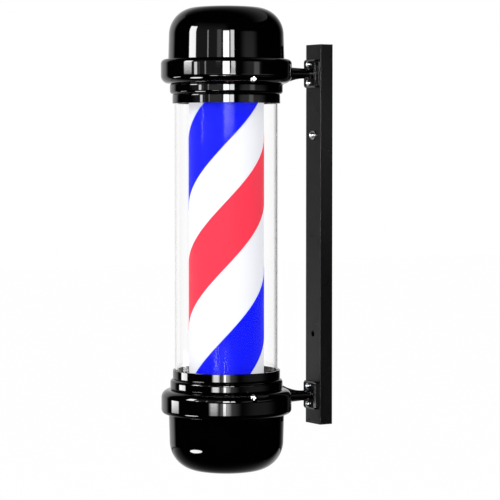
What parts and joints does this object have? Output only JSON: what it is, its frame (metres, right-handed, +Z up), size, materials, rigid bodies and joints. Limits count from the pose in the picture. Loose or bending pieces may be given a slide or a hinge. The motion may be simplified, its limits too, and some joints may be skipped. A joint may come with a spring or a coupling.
{
  "type": "barber pole",
  "caption": "Wall-hung barber pole: a striped drum turns on a fixed spindle in a clear tube between gloss black domed caps, held off a wall bar by two cast arms.",
  "frame": {"origin": "centre of the wall bar's back face, halfway along the bar", "axes": "+Z up along the pole, +Y into the wall, so the pole stands in front of the wall towards -Y; +X along the wall"},
  "size_m": [0.1996, 0.2788, 0.7136],
  "materials": {
    "gloss_black": "high gloss",
    "black_enamel": "gloss enamel",
    "satin_black": "satin powder coat",
    "clear_plastic": "clear",
    "black_rubber": "matt",
    "bright_screw": "bright plated",
    "zinc": "zinc plated",
    "aluminium": "extruded",
    "bush_metal": "turned",
    "white_plastic": "moulded",
    "white_sleeve": "gloss",
    "red_film": "gloss",
    "blue_film": "gloss",
    "led_board": "white solder mask",
    "led_yellow": "phosphor",
    "red_lead": "insulation",
    "blue_lead": "insulation",
    "white_lead": "insulation",
    "black_nylon": "moulded"
  },
  "bodies": {
    "frame": {"top_dome": "gloss_black", "bottom_bowl": "gloss_black", "top_dome_seal": "black_rubber", "bottom_bowl_seal": "black_rubber", "upper_collar": "black_enamel", "lower_collar": "black_enamel", "upper_neck_ring": "black_enamel", "lower_neck_ring": "black_enamel", "upper_tube_seal": "black_rubber", "lower_tube_seal": "black_rubber", "clear_tube": "clear_plastic", "side_screws": "bright_screw", "upper_arm": "black_enamel", "lower_arm": "black_enamel", "arm_pad_screws": "bright_screw", "arm_flange_screws": "bright_screw", "wall_bar": "satin_black", "bar_top_plug": "black_rubber", "bar_bottom_plug": "black_rubber", "bar_weld_nuts": "zinc", "wall_bolt": "bright_screw", "wall_washer": "zinc", "upper_bridge": "zinc", "lower_bridge": "zinc", "bridge_screws": "bright_screw", "spindle": "bright_screw", "spindle_nuts": "zinc", "thrust_washers": "white_plastic", "lamp_column": "aluminium", "led_boards": "led_board", "led_chips": "led_yellow", "column_clamps": "zinc", "clamp_screws": "bright_screw", "motor_plate": "zinc", "motor_can": "zinc", "motor_screws": "bright_screw", "led_driver": "white_plastic", "driver_screws": "bright_screw", "terminal_block": "white_plastic", "lamp_lead": "red_lead", "motor_lead": "blue_lead", "driver_lead": "white_lead", "gland_body": "black_nylon", "gland_nut": "black_nylon", "gland_seal": "black_rubber", "gland_lock_nut": "black_nylon"},
    "drum": {"drum_sleeve": "white_sleeve", "red_stripe": "red_film", "blue_stripe": "blue_film", "drum_top_disc": "white_plastic", "drum_bottom_disc": "white_plastic", "upper_bush": "bush_metal", "lower_bush": "bush_metal", "drum_gear": "white_plastic", "gear_screws": "bright_screw"},
    "pinion": {"drive_pinion": "white_plastic", "motor_shaft": "bright_screw"}
  },
  "joints": [
    {"name": "drum_spin", "type": "hinge", "parent": "frame", "child": "drum", "pos_m": [0, -0.179, 0], "axis": [0, 0, 1], "continuous": true},
    {"name": "pinion_spin", "type": "hinge", "parent": "frame", "child": "pinion", "pos_m": [-0.04015, -0.179, -0.2183], "axis": [0, 0, 1], "continuous": true}
  ],
  "couplings": [
    {"joint": "pinion_spin", "follows": "drum_spin", "ratio": -4}
  ]
}
